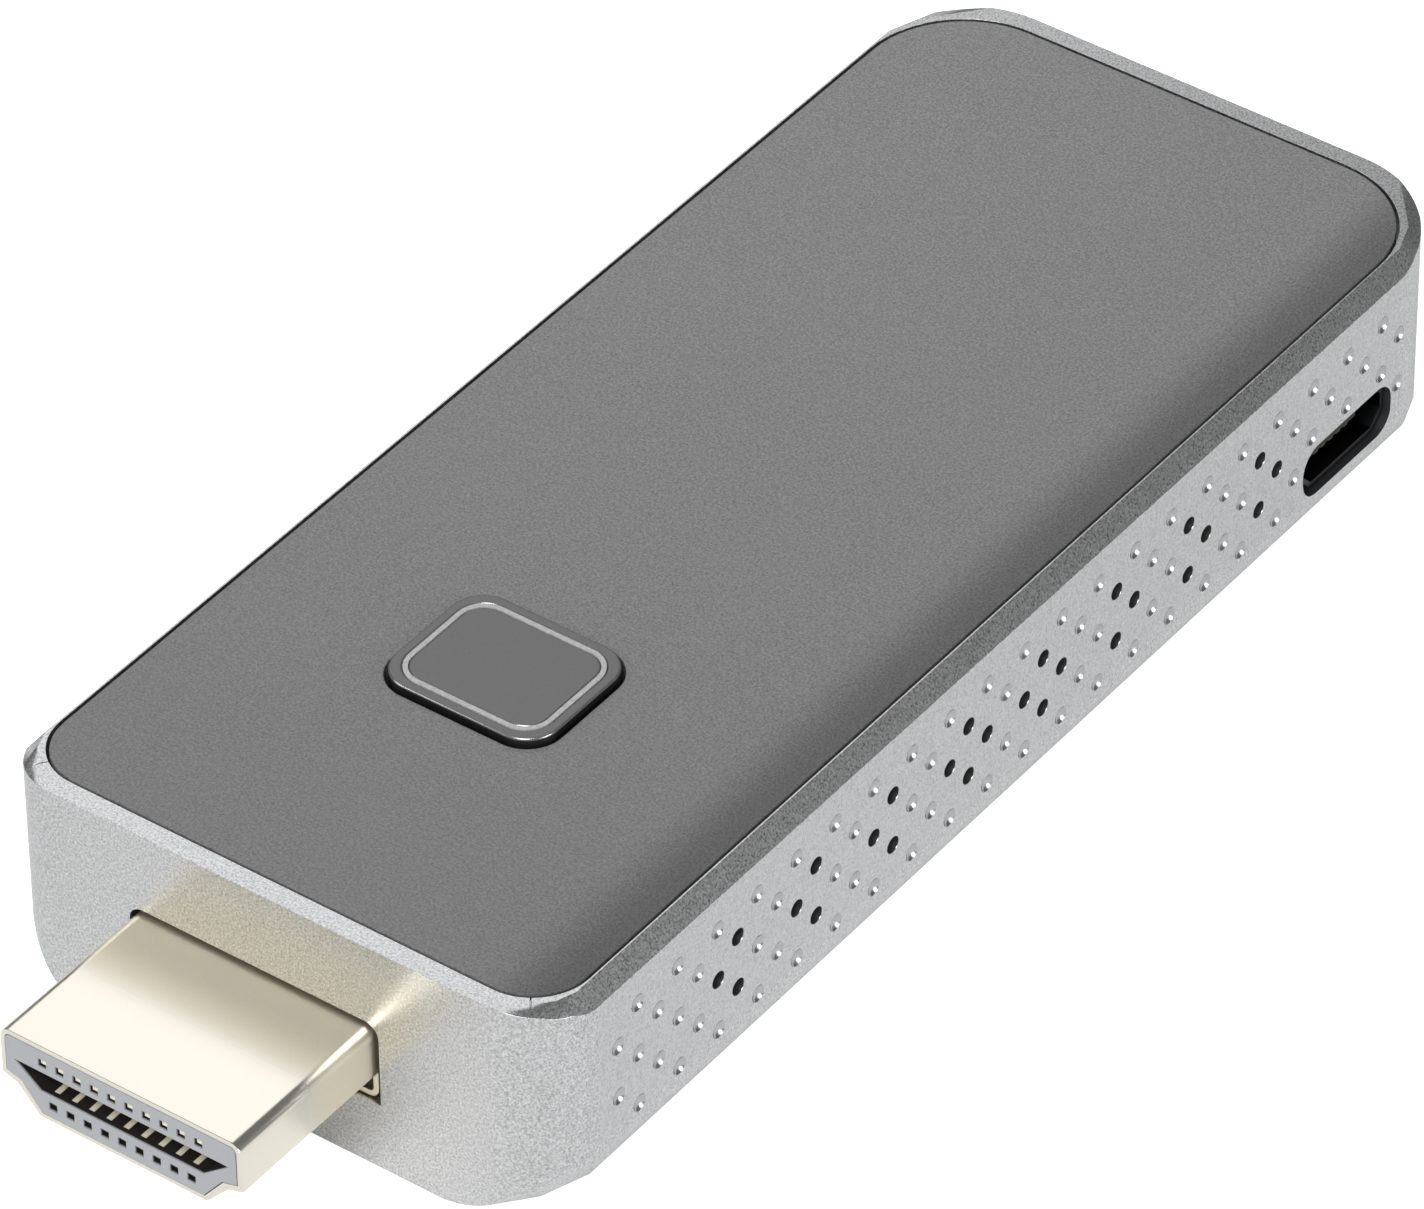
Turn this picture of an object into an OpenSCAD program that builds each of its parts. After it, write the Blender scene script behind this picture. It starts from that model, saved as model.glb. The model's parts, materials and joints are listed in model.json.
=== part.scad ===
// Wireless presentation dongle: a metal tray with a dark cover, a fixed A-type plug at the front
// end, a push button near the plug, a recessed power port in the right side and a board inside.
// X runs across the body, +Y from the plug to the far end, +Z up. The origin is the middle of
// the whole object's outline, on the underside.

/* [Body] */
// Width of the tray across its long sides
body_w = 32; // [31:0.5:36]
// Length of the tray from the plug end to the far end
body_l = 75; // [74:0.5:90]
// Height of the tray with its cover
body_h = 13.3; // [13.1:0.1:15]
// Radius of the upright corners at the plug end
front_corner_r = 3.7; // [3.4:0.1:5]
// Radius of the upright corners at the far end
rear_corner_r = 6.1; // [6:0.1:7.5]
// Radius of the long lower edges
lower_edge_r = 4; // [2.5:0.1:4.5]
// Radius of the short lower edges
end_edge_r = 0.1; // [0.05:0.05:1.2]
// Thickness of the upright walls
wall = 1.6; // [1.4:0.1:2]
// Thickness of the floor
floor_t = 1.3; // [1:0.1:1.8]

/* [Rim] */
// Width of the sloping rim along the long sides
bevel_w = 0.7; // [0.4:0.1:0.9]
// Drop of the sloping rim along the long sides
bevel_drop = 1; // [0.4:0.1:1.3]
// Flat land between the slope and the cover
side_land = 0.1; // [0.1:0.05:0.4]
// Width of the flat rim at the plug end
front_rim = 1.1; // [0.8:0.1:1.4]
// Width of the flat rim at the far end
rear_rim = 1; // [0.8:0.1:1.4]

/* [Cover] */
// Thickness of the cover plate
cover_t = 1.4; // [1:0.1:1.8]
// Gap between the cover and the rim
cover_gap = 0.14; // [0.1:0.02:0.3]
// Corner radius of the recess for the cover at the plug end
recess_front_r = 3.1; // [2.6:0.1:3.6]
// Corner radius of the recess for the cover at the far end
recess_rear_r = 5.7; // [5:0.1:6.2]
// Length of each snap tab along the body
tab_l = 5; // [3:0.5:7]
// Thickness of each snap tab
tab_t = 0.9; // [0.7:0.1:1.2]
// Depth of each snap tab below the cover plate
tab_depth = 2.2; // [1.8:0.1:2.6]
// How far the catch stands out from its tab
catch_out = 0.45; // [0.3:0.05:0.6]
// Height of the catch
catch_h = 0.7; // [0.5:0.1:0.9]

/* [Button] */
// Place of the button across the body
button_x = -0.7; // [-2:0.1:2]
// Place of the button along the body, from the plug end
button_y = 18.9; // [17:0.1:24]
// Width of the button hole across the body
button_hole_w = 9.8; // [9:0.1:11]
// Length of the button hole along the body
button_hole_l = 8.2; // [7.6:0.1:10]
// Corner radius of the button hole
button_hole_r = 1.95; // [1.2:0.05:2.4]
// Running gap round the button cap
button_gap = 0.2; // [0.15:0.05:0.3]
// How far the button cap stands above the cover
button_raise = 0.4; // [0.35:0.05:0.8]
// Travel of the button
button_travel = 0.3; // [0.2:0.05:0.3]
// How far the retaining flange stands out past the cap
flange_out = 0.8; // [0.5:0.1:1]
// Thickness of the retaining flange
flange_t = 0.8; // [0.6:0.1:1]
// Gap between the flange and the cover above it
flange_gap = 0.1; // [0.05:0.05:0.2]
// Wall thickness of the collar that guides the flange
collar_t = 0.8; // [0.6:0.1:1.2]
// Diameter of the stem under the cap
stem_d = 2.4; // [2:0.1:2.6]
// Inset of the pale ring from the edge of the cap
ring_inset = 0.55; // [0.4:0.05:0.8]
// Width of the pale ring
ring_w = 0.25; // [0.2:0.05:0.4]
// Corner radius of the pale ring
ring_r = 1.5; // [1.2:0.1:1.6]
// Depth of the pale ring in the cap
ring_depth = 0.5; // [0.3:0.1:0.8]

/* [Plug] */
// Place of the plug across the body
plug_x = -0.85; // [-1.5:0.05:1.5]
// Height of the plug's middle above the underside
plug_z = 6.3; // [6.25:0.05:6.4]
// How far the plug stands out of the body
plug_out = 9.7; // [9.5:0.1:12]
// Width of the plug shell
plug_w = 13.9; // [13.8:0.05:14]
// Height of the plug shell
plug_h = 4.45; // [4.4:0.05:4.5]
// Sheet thickness of the plug shell
shell_t = 0.3; // [0.25:0.05:0.35]
// Corner radius of the plug shell
plug_r = 0.6; // [0.4:0.05:0.8]
// Height of the straight sides above the steps in the shell
plug_side_h = 2.8; // [2.7:0.05:2.9]
// Width of the flat underside between the slanted steps
plug_foot_w = 9.65; // [9.5:0.05:9.9]
// Width of each ledge beside the slanted steps
plug_ledge = 0.85; // [0.7:0.05:0.95]
// Drop of each ledge towards its slanted step
plug_ledge_drop = 0.25; // [0.1:0.05:0.35]
// Length of the square rear part of the plug inside the body
plug_rear_l = 6.6; // [6:0.1:7]
// How far the square rear part starts behind the body's face
plug_rear_in = 0.2; // [0.1:0.1:0.5]
// Upper width of the slot in the plug's face
slot_top_w = 12.4; // [12:0.1:12.6]
// Lower width of the slot in the plug's face
slot_foot_w = 9.4; // [9.2:0.1:9.6]
// Height of the slot above the plug's middle
slot_up = 0.62; // [0.56:0.02:0.7]
// Depth of the slot below the plug's middle
slot_down = 0.58; // [0.52:0.02:0.62]
// Depth of the slot from the plug's face
slot_l = 8; // [7:0.5:9]
// Contacts in the upper row
upper_count = 10; // [8:1:10]
// Contacts in the lower row
lower_count = 9; // [7:1:9]
// Distance between neighbouring contacts
contact_pitch = 1; // [0.98:0.01:1.02]
// Width of a contact
contact_w = 0.3; // [0.25:0.05:0.4]
// Thickness of a contact
contact_t = 0.2; // [0.15:0.05:0.25]
// Size of the square windows in the plug's face
window = 0.48; // [0.44:0.02:0.54]
// Height of the upper windows above the plug's middle
window_up = 1.16; // [1.12:0.01:1.3]
// Depth of the lower windows below the plug's middle
window_down = 1.24; // [1.2:0.01:1.3]

/* [Plug opening] */
// Width of the opening round the plug
opening_w = 14.4; // [14.2:0.1:14.8]
// Top of the opening above the plug's middle
opening_up = 2.45; // [2.35:0.05:2.5]
// Bottom of the opening below the plug's middle
opening_down = 2.33; // [2.3:0.01:2.6]
// Radius of the upper corners of the opening
opening_r = 0.8; // [0.5:0.1:1]

/* [Power port] */
// Place of the port along the body, from the far end
port_from_end = 10.35; // [10.1:0.05:12]
// Height of the port's middle above the underside
port_z = 5.02; // [5:0.01:5.1]
// Length of the port opening
port_l = 7.75; // [7.7:0.05:8.2]
// Height of the port opening
port_h = 3; // [2.9:0.1:3.2]
// Corner radius of the port opening
port_r = 1.3; // [1:0.1:1.4]
// Length of the receptacle shell across its mouth
socket_l = 7.3; // [7.2:0.05:7.4]
// Height of the receptacle shell
socket_h = 2.45; // [2.3:0.05:2.46]
// Depth of the receptacle shell
socket_deep = 5; // [4.6:0.1:5.4]
// Sheet thickness of the receptacle shell
socket_t = 0.25; // [0.2:0.05:0.3]
// Radius of the receptacle's upper corners
socket_r = 0.7; // [0.6:0.05:0.8]
// Slanted lower corners of the receptacle mouth
socket_slant = 0.9; // [0.7:0.1:1]
// How far the receptacle lies behind the tray's side
socket_in = 0.35; // [0.2:0.05:0.6]

/* [Dimples and vents] */
// Distance between neighbouring columns, and between rows
dot_pitch = 1.52; // [1.5:0.01:1.56]
// Diameter of a dimple
dot_d = 0.95; // [0.7:0.05:1]
// Depth of a dimple
dot_deep = 0.22; // [0.15:0.01:0.3]
// Diameter of a vent hole
vent_d = 0.9; // [0.7:0.05:1]
// First column from the plug end
dot_start = 6.7; // [6.4:0.1:7]
// Height of the top row above the underside
dot_top_z = 10.44; // [10.2:0.02:10.6]
// Number of the last column
dot_last = 40; // [36:2:40]

/* [Board] */
// Height of the board's underside above the tray's underside
board_z = 6.25; // [6.25:0.01:6.3]
// Thickness of the board
board_t = 1; // [0.96:0.01:1]
// Gap between the board and the walls
board_gap = 0.3; // [0.2:0.1:0.5]
// Front edge of the board from the plug end
board_front = 7.4; // [7.3:0.1:8]
// Diameter of the posts under the board
post_d = 4.4; // [4:0.1:4.6]
// Shank diameter of the board screws
screw_d = 1.6; // [1.4:0.1:1.8]
// Shank length of the board screws
screw_l = 4; // [3.4:0.1:4.4]
// Head diameter of the board screws
screw_head_d = 3.2; // [3:0.1:3.4]
// Head height of the board screws
screw_head_h = 1; // [0.8:0.1:1.2]

/* [Hidden] */
$fn = 48;

// Shared overrun of every cut, and the small gap between a piece and its close seat
over = 0.5;
seat_gap = 0.02;
side_signs = [-1, 1];

// Places along and above the body
front_y = -(body_l - plug_out) / 2;
rear_y = front_y + body_l;
plug_tip_y = front_y - plug_out;
side_inset = bevel_w + side_land;
corner_turn = 40;
corner_drop_share = 0.27;
half_turn_share = 0.5;
half_drop_share = 0.6;
front_edge_shares = [1.125, 1];
rear_edge_shares = [0.875, 0.75];
seam_turn = 37;
seam_w = 0.06;
seam_deep = 0.12;
recess_z = body_h - cover_t;
wall_x = body_w / 2 - wall;
inner_front_r = max(front_corner_r - wall, seat_gap);
inner_rear_r = max(rear_corner_r - wall, seat_gap);
inner_edge_r = max(lower_edge_r - wall, seat_gap);
board_top = board_z + board_t;

// Button and switch, stacked from the board up to the cap
button_at = [button_x, front_y + button_y];
cap_w = button_hole_w - 2 * button_gap;
cap_l = button_hole_l - 2 * button_gap;
cap_r = button_hole_r - button_gap;
cap_top = body_h + button_raise;
flange_top = recess_z - flange_gap;
flange_bottom = flange_top - flange_t;
collar_in_w = cap_w + 2 * flange_out + 2 * button_gap;
collar_in_l = cap_l + 2 * flange_out + 2 * button_gap;
collar_h = flange_t + flange_gap + button_travel + 2 * button_gap;
switch_size = 5.2;
switch_h = 1.3;
switch_floor = 0.4;
switch_well_d = 3.6;
switch_frame_t = 0.2;
switch_hole_gap = 0.15;
plunger_d = 2.4;
plunger_foot_d = 3.2;
plunger_foot_h = 0.4;
plunger_out = 0.5;
dome_d = 3.2;
dome_h = 0.4;
dome_t = 0.1;
switch_top = board_top + switch_h;
frame_z = switch_top;
plunger_foot_top = switch_top - seat_gap;
plunger_top = frame_z + switch_frame_t + plunger_out;
frame_leg = 0.8;

// Snap tabs, spaced evenly along each long side
tab_count = 3;
tab_first_share = 0.2;
tab_step_share = 0.3;
tab_x = wall_x - board_gap;
catch_z = recess_z - tab_depth;

// Plug
plug_rear_y = front_y + plug_rear_in;
plug_back_y = plug_rear_y + plug_rear_l;
slot_top = plug_z + slot_up;
slot_foot = plug_z - slot_down;
upper_window_z = plug_z + window_up;
lower_window_z = plug_z - window_down;
window_deep = 0.6;
nose_in = 0.12;
tip_in = 0.35;
upper_bump_drop = 0.42;
upper_bump_from = 0.25;
lower_bump_drop = 0.2;
lower_bump_from = 1.9;
bump_l = 2.2;
joggle_l = 1;
tail_l = 2.2;

// Power port
port_y = rear_y - port_from_end;
socket_x = body_w / 2 - socket_in;
socket_back_x = socket_x - socket_deep;
tongue_l = 4.2;
tongue_h = 0.6;
tongue_drop = 0.45;
tongue_in = 0.6;
port_contact_count = 5;
port_contact_pitch = 0.65;
port_contact_w = 0.35;
port_contact_t = 0.12;

// Side pattern: columns counted from the plug end in steps of dot_pitch
pattern_rows = [0, 1, 2, 3, 4];
outer_vent_columns = [for (c = [5 : 4 : 33]) c];
middle_vent_columns = [4, 8, 12, 16, 18, 20, 22, 26, 30, 34];
dot_fn = 24;
ball_r = (dot_d * dot_d / 4 + dot_deep * dot_deep) / (2 * dot_deep);

// Board and what it carries: places are from the front edge's middle
board_w = body_w - 2 * wall - 2 * board_gap;
board_y = front_y + board_front;
board_l = body_l - board_front - wall - board_gap;
board_rear_r = inner_rear_r - board_gap;
screw_hole_play = 0.6;
post_bore_play = 0.1;
screw_hole_d = screw_d + screw_hole_play;
post_bore_d = screw_d + post_bore_play;
screw_cross_l = screw_head_d * 2 / 3;
screw_cross_w = screw_d / 3;
post_inset = 2.5;
front_post_in = 3.6;
rear_post_in = 9.7;
side_post_in = 19.2;
post_places = [[-1, front_post_in], [1, front_post_in], [-1, board_l - rear_post_in],
    [1, board_l - side_post_in]];

// Sizes of the parts on the board: across, along and up. Their places are x and distance along it,
// kept from the board's edges and far end, the button's collar and the heatsink by named distances
button_on_board = button_y - board_front;
heatsink_l = 15;
heatsink_behind = 3.3;
video_size = [11, 11, 1.2];
video_x = -2;
video_at = [video_x,
    button_on_board + collar_in_l / 2 + collar_t + heatsink_behind + heatsink_l / 2];
memory_size = [5, 7.5, 1];
memory_in = 3.5;
memory_x = memory_in - board_w / 2;
memory_ahead = 3;
memory_from = video_at[1] - memory_ahead;
memory_step = 8.6;
flash_size = [4.8, 5.6, 1.2];
flash_in = 5.7;
flash_ahead = 6;
flash_at = [board_w / 2 - flash_in, video_at[1] - flash_ahead];
radio_size = [12, 12, 0.8];
radio_x = 2.6;
radio_from_end = 18.2;
radio_at = [radio_x, board_l - radio_from_end];
shield_margin = 0.6;
shield_h = 1.7;
shield_t = 0.3;
crystal_size = [3.2, 2.5, 0.8];
crystal_in = 5.9;
crystal_behind = 2.6;
crystal_at = [board_w / 2 - crystal_in, video_at[1] + crystal_behind];
coil_size = [4, 4, 2];
coil_in = 3.5;
coil_x = board_w / 2 - coil_in;
coil_behind = 8;
coil_beside = 2.3;
coil_from = video_at[1] + coil_behind;
coil_step = button_on_board + coil_beside - coil_from;
power_size = [4, 4, 0.9];
power_in = 7.1;
power_from_end = 17.3;
power_at = [power_in - board_w / 2, board_l - power_from_end];
tank_d = 4;
tank_h = 3.2;
tank_base_h = 0.5;
tank_base_w = 4.3;
tank_in = 3.5;
tank_x = tank_in - board_w / 2;
tank_beside = 2;
tank_from_end = 23.4;
tank_from = button_on_board + tank_beside;
tank_step = board_l - tank_from_end - tank_from;
small_size = [1, 0.5, 0.5];
small_aside = 5.6;
small_behind = 1.5;
small_first = [video_x - small_aside, video_at[1] + heatsink_l / 2 + small_behind];
small_step = 1.5;
small_columns = 6;
small_rows = 2;
led_size = [0.8, 1.6, 0.7];
led_from_button = 5;
pad_t = 0.5;
pad_margin = 0.5;
heatsink_base_h = 0.9;
heatsink_w = 13;
heatsink_room = 0.4;
fin_t = 0.8;
fin_count = 6;
antenna_w = 9;
antenna_l = 3;
antenna_h = 2.6;
antenna_t = 0.3;
antenna_foot = 1.2;
antenna_x = 4.9;
antenna_from_end = 2.8;
antenna_slit = 0.8;
sheet_t = 0.3;
sheet_w = 14;
sheet_from = 12;
sheet_end_in = 3.7;
sheet_l = board_l - sheet_from - sheet_end_in;

module rounded_plan(w, l, front_r, rear_r) {
    // Outline from y = 0 to y = l, centred on x = 0
    translate([-w / 2, front_r]) square([w, l - front_r - rear_r]);
    translate([-w / 2 + front_r, 0]) square([w - 2 * front_r, l / 2]);
    translate([-w / 2 + rear_r, l / 2]) square([w - 2 * rear_r, l / 2]);
    for (s = side_signs) {
        translate([s * (w / 2 - front_r), front_r]) circle(front_r);
        translate([s * (w / 2 - rear_r), l - rear_r]) circle(rear_r);
    }
}

module centred_round(w, l, r) {
    translate([0, -l / 2]) rounded_plan(w, l, r, r);
}

module edge_profile(w, h, r) {
    // Upright outline that stands on y = 0 with round lower corners
    translate([-w / 2, r]) square([w, h - r]);
    translate([-w / 2 + r, 0]) square([w - 2 * r, h]);
    for (s = side_signs) translate([s * (w / 2 - r), r]) circle(r);
}

module along_y(from, to) {
    // Extrudes an x-z outline from y = from to y = to
    translate([0, to, 0]) rotate([90, 0, 0]) linear_extrude(to - from) children();
}

module along_x(from, to) {
    // Extrudes a y-z outline from x = from to x = to
    translate([from, 0, 0]) rotate([90, 0, 90]) linear_extrude(to - from) children();
}

module block(size, at) {
    // A box centred across and along on a place, standing on its height
    translate([at[0] - size[0] / 2, at[1] - size[1] / 2, at[2]]) cube(size);
}

module corner_section(r, drop, edge_r) {
    // The side's section, seen from a corner's middle, with its own rim drop and lower edge radius
    difference() {
        union() {
            translate([-body_l, edge_r]) square([body_l + r, body_h - edge_r + over]);
            translate([-body_l, 0]) square([body_l + r - edge_r, body_h + over]);
            translate([r - edge_r, edge_r]) circle(edge_r);
        }
        polygon([[r - bevel_w, body_h], [r, body_h - drop], [r + over, body_h - drop],
            [r + over, body_h + 2 * over], [r - bevel_w, body_h + 2 * over]]);
    }
}

module turned_section(side, end, r, turn, drop, edge_r) {
    lean = end * turn;
    translate([side * (body_w / 2 - r), end < 0 ? front_y + r : rear_y - r, 0])
        rotate([0, 0, side > 0 ? lean : 180 - lean]) along_y(-body_l, body_l)
            corner_section(r, drop, edge_r);
}

module corner_guard(side, end, r, edge_shares) {
    // Turns that section round one upright corner in two steps, so that the round lower edge and
    // the slope run into the corner: end is -1 at the plug and 1 at the far end
    intersection() {
        turned_section(side, end, r, corner_turn * half_turn_share, bevel_drop * half_drop_share,
            lower_edge_r * edge_shares[0]);
        turned_section(side, end, r, corner_turn, bevel_drop * corner_drop_share,
            lower_edge_r * edge_shares[1]);
    }
}

module rim_seam(side) {
    // A hairline across the flat rim where the slope begins at a front corner
    translate([side * (body_w / 2 - front_corner_r), front_y + front_corner_r, body_h - seam_deep])
        rotate([0, 0, side * seam_turn]) translate([-seam_w / 2, -front_corner_r - over, 0])
            cube([seam_w, front_corner_r, seam_deep + over]);
}

module tray_outside() {
    intersection() {
        corner_guard(-1, -1, front_corner_r, front_edge_shares);
        corner_guard(1, -1, front_corner_r, front_edge_shares);
        corner_guard(-1, 1, rear_corner_r, rear_edge_shares);
        corner_guard(1, 1, rear_corner_r, rear_edge_shares);
        translate([0, front_y, 0]) linear_extrude(body_h)
            rounded_plan(body_w, body_l, front_corner_r, rear_corner_r);
        along_y(front_y - over, rear_y + over) difference() {
            edge_profile(body_w, body_h + over, lower_edge_r);
            for (s = side_signs) polygon([
                [s * (body_w / 2 - bevel_w), body_h],
                [s * body_w / 2, body_h - bevel_drop],
                [s * (body_w / 2 + over), body_h - bevel_drop],
                [s * (body_w / 2 + over), body_h + 2 * over],
                [s * (body_w / 2 - bevel_w), body_h + 2 * over]
            ]);
        }
        along_x(-body_w / 2 - over, body_w / 2 + over)
            translate([front_y + body_l / 2, 0]) edge_profile(body_l, body_h + over, end_edge_r);
    }
}

module tray_inside() {
    intersection() {
        translate([0, front_y + wall, floor_t]) linear_extrude(body_h)
            rounded_plan(body_w - 2 * wall, body_l - 2 * wall, inner_front_r, inner_rear_r);
        along_y(front_y, rear_y) translate([0, floor_t])
            edge_profile(body_w - 2 * wall, body_h, inner_edge_r);
    }
}

module cover_outline(gap) {
    translate([0, front_y + front_rim + gap]) rounded_plan(body_w - 2 * side_inset - 2 * gap,
        body_l - front_rim - rear_rim - 2 * gap, recess_front_r - gap, recess_rear_r - gap);
}

module plug_opening() {
    top = plug_z + opening_up;
    foot = plug_z - opening_down;
    along_y(front_y - over, front_y + wall + over) translate([plug_x, foot]) {
        translate([-opening_w / 2, 0]) square([opening_w, top - foot - opening_r]);
        translate([-opening_w / 2 + opening_r, 0])
            square([opening_w - 2 * opening_r, top - foot]);
        for (s = side_signs)
            translate([s * (opening_w / 2 - opening_r), top - foot - opening_r]) circle(opening_r);
    }
}

module port_opening() {
    along_x(wall_x - over, body_w / 2 + over)
        translate([port_y, port_z]) centred_round(port_l, port_h, port_r);
}

// A column is a vent where its row opens it, is left out over the port, and is a dimple elsewhere
function is_vent(row, column) = row == 2
    ? len(search(column, middle_vent_columns)) > 0
    : (row == 1 || row == 3) && len(search(column, outer_vent_columns)) > 0;
function dot_y(column) = front_y + dot_start + column * dot_pitch;
function dot_z(row) = dot_top_z - row * dot_pitch;
function over_port(row, column, side) = side > 0
    && abs(dot_y(column) - port_y) < port_l / 2 + dot_d / 4
    && abs(dot_z(row) - port_z) < port_h / 2 + dot_d / 4;

module side_pattern(side) {
    for (row = pattern_rows) {
        first = row % 2 == 0 ? 0 : -1;
        last = row % 2 == 0 ? dot_last : dot_last + 1;
        for (column = [first : 2 : last]) if (!over_port(row, column, side)) {
            if (is_vent(row, column))
                translate([side * (body_w / 2 - wall / 2), dot_y(column), dot_z(row)])
                    rotate([0, 90, 0]) cylinder(h = wall + 2 * over, d = vent_d, center = true,
                        $fn = dot_fn);
            else
                translate([side * (body_w / 2 + ball_r - dot_deep), dot_y(column), dot_z(row)])
                    rotate([0, 90, 0]) sphere(ball_r, $fn = dot_fn);
        }
    }
}

function post_at(p) = [p[0] * (board_w / 2 - post_inset), board_y + p[1]];
function tab_y(k) = front_y + body_l * (tab_first_share + k * tab_step_share);

module tray() {
    color("#bdbdbd") difference() {
        union() {
            difference() {
                tray_outside();
                tray_inside();
            }
            for (p = post_places) translate([post_at(p)[0], post_at(p)[1], floor_t - seat_gap])
                cylinder(h = board_z - floor_t + seat_gap, d = post_d);
        }
        translate([0, 0, recess_z]) linear_extrude(cover_t + over) cover_outline(0);
        plug_opening();
        port_opening();
        for (s = side_signs) {
            side_pattern(s);
            rim_seam(s);
        }
        for (p = post_places)
            translate([post_at(p)[0], post_at(p)[1], board_z - screw_l])
                cylinder(h = screw_l + over, d = post_bore_d);
        for (s = side_signs, k = [0 : tab_count - 1])
            block([2 * (catch_out + seat_gap + board_gap), tab_l + board_gap,
                catch_h + 2 * cover_gap], [s * tab_x, tab_y(k), catch_z - cover_gap]);
    }
}

module top_cover() {
    color("#7d7d7d") difference() {
        union() {
            translate([0, 0, recess_z]) linear_extrude(cover_t) cover_outline(cover_gap);
            translate([button_at[0], button_at[1], recess_z - collar_h])
                linear_extrude(collar_h + cover_t / 2) centred_round(collar_in_w + 2 * collar_t,
                    collar_in_l + 2 * collar_t, cap_r + flange_out + collar_t);
            for (s = side_signs, k = [0 : tab_count - 1]) {
                block([tab_t, tab_l, tab_depth + cover_t / 2],
                    [s * (tab_x - tab_t / 2), tab_y(k), recess_z - tab_depth]);
                translate([0, tab_y(k) - tab_l / 2, catch_z]) along_y(0, tab_l)
                    polygon([[s * (tab_x - tab_t / 2), 0], [s * tab_x, 0],
                        [s * (tab_x + catch_out), catch_h], [s * (tab_x - tab_t / 2), catch_h]]);
            }
        }
        translate([button_at[0], button_at[1], recess_z - collar_h - over])
            linear_extrude(collar_h + over)
                centred_round(collar_in_w, collar_in_l, cap_r + flange_out + button_gap);
        translate([button_at[0], button_at[1], recess_z - over]) linear_extrude(cover_t + 2 * over)
            centred_round(button_hole_w, button_hole_l, button_hole_r);
    }
}

module ring_outline(grow) {
    w = cap_w - 2 * ring_inset;
    l = cap_l - 2 * ring_inset;
    difference() {
        centred_round(w + 2 * grow, l + 2 * grow, ring_r + grow);
        centred_round(w - 2 * ring_w - 2 * grow, l - 2 * ring_w - 2 * grow,
            ring_r - ring_w - grow);
    }
}

module button_cap() {
    color("#757575") translate([button_at[0], button_at[1], 0]) difference() {
        union() {
            translate([0, 0, flange_bottom]) linear_extrude(cap_top - flange_bottom)
                centred_round(cap_w, cap_l, cap_r);
            translate([0, 0, flange_bottom]) linear_extrude(flange_t)
                centred_round(cap_w + 2 * flange_out, cap_l + 2 * flange_out, cap_r + flange_out);
            translate([0, 0, plunger_top + seat_gap])
                cylinder(h = flange_bottom + flange_t / 2 - plunger_top, d = stem_d);
        }
        translate([0, 0, cap_top - ring_depth]) linear_extrude(ring_depth + over)
            ring_outline(seat_gap);
    }
}

module button_ring() {
    color("#b9b9b9") translate([button_at[0], button_at[1], cap_top - ring_depth + seat_gap])
        linear_extrude(ring_depth - seat_gap) ring_outline(0);
}

module switch_base() {
    color("#2b2b2b") difference() {
        block([switch_size, switch_size, switch_h], [button_at[0], button_at[1], board_top]);
        translate([button_at[0], button_at[1], board_top + switch_floor])
            cylinder(h = switch_h, d = switch_well_d);
    }
}

module switch_frame() {
    color("#c9c9c9") difference() {
        union() {
            block([switch_size, switch_size, switch_frame_t],
                [button_at[0], button_at[1], frame_z]);
            for (s = side_signs) block([switch_frame_t, switch_size / 2, frame_leg + switch_frame_t],
                [button_at[0] + s * (switch_size + switch_frame_t) / 2, button_at[1],
                    frame_z - frame_leg]);
        }
        translate([button_at[0], button_at[1], frame_z - over])
            cylinder(h = switch_frame_t + 2 * over, d = plunger_d + 2 * switch_hole_gap);
    }
}

module switch_plunger() {
    color("#3a3a3a") translate([button_at[0], button_at[1], 0]) {
        translate([0, 0, plunger_foot_top - plunger_foot_h])
            cylinder(h = plunger_foot_h, d = plunger_foot_d);
        translate([0, 0, plunger_foot_top - plunger_foot_h])
            cylinder(h = plunger_top - plunger_foot_top + plunger_foot_h, d = plunger_d);
    }
}

module dome_cap(r, cut_z) {
    intersection() {
        sphere(r);
        translate([-r, -r, cut_z]) cube([2 * r, 2 * r, r]);
    }
}

module switch_dome() {
    r = (dome_d * dome_d / 4 + dome_h * dome_h) / (2 * dome_h);
    color("#d0c8a8") translate([button_at[0], button_at[1],
        board_top + switch_floor + dome_h - r]) difference() {
        dome_cap(r, r - dome_h);
        sphere(r - dome_t);
    }
}

module shell_outline(inset) {
    // The plug's mating outline: straight sides, a falling ledge, then a slanted step to the foot
    w = plug_w / 2 - inset;
    top = plug_h / 2 - inset;
    ledge_z = plug_h / 2 - plug_side_h + inset;
    foot = -plug_h / 2 + inset;
    foot_w = plug_foot_w / 2 - inset / 2;
    ledge_x = plug_w / 2 - plug_ledge - inset;
    r = max(plug_r - inset, seat_gap);
    union() {
        translate([-w + r, 0]) square([2 * (w - r), top]);
        translate([-w, ledge_z]) square([2 * w, top - r - ledge_z]);
        for (s = side_signs) translate([s * (w - r), top - r]) circle(r);
        polygon([[-w, ledge_z + plug_ledge_drop], [-w, ledge_z],
            [-ledge_x, ledge_z - plug_ledge_drop], [-foot_w, foot], [foot_w, foot],
            [ledge_x, ledge_z - plug_ledge_drop], [w, ledge_z], [w, ledge_z + plug_ledge_drop]]);
    }
}

module rear_outline(inset) {
    centred_round(plug_w - 2 * inset, plug_h - 2 * inset, max(plug_r - inset, seat_gap));
}

module plug_shell() {
    color("#e3d6a8") translate([plug_x, 0, plug_z]) {
        difference() {
            union() {
                along_y(plug_tip_y, plug_rear_y + shell_t) shell_outline(0);
                along_y(plug_rear_y, plug_back_y) rear_outline(0);
            }
            along_y(plug_tip_y - over, plug_rear_y + shell_t + over) shell_outline(shell_t);
            along_y(plug_rear_y - over, plug_back_y + over) rear_outline(shell_t);
        }
    }
}

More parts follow.
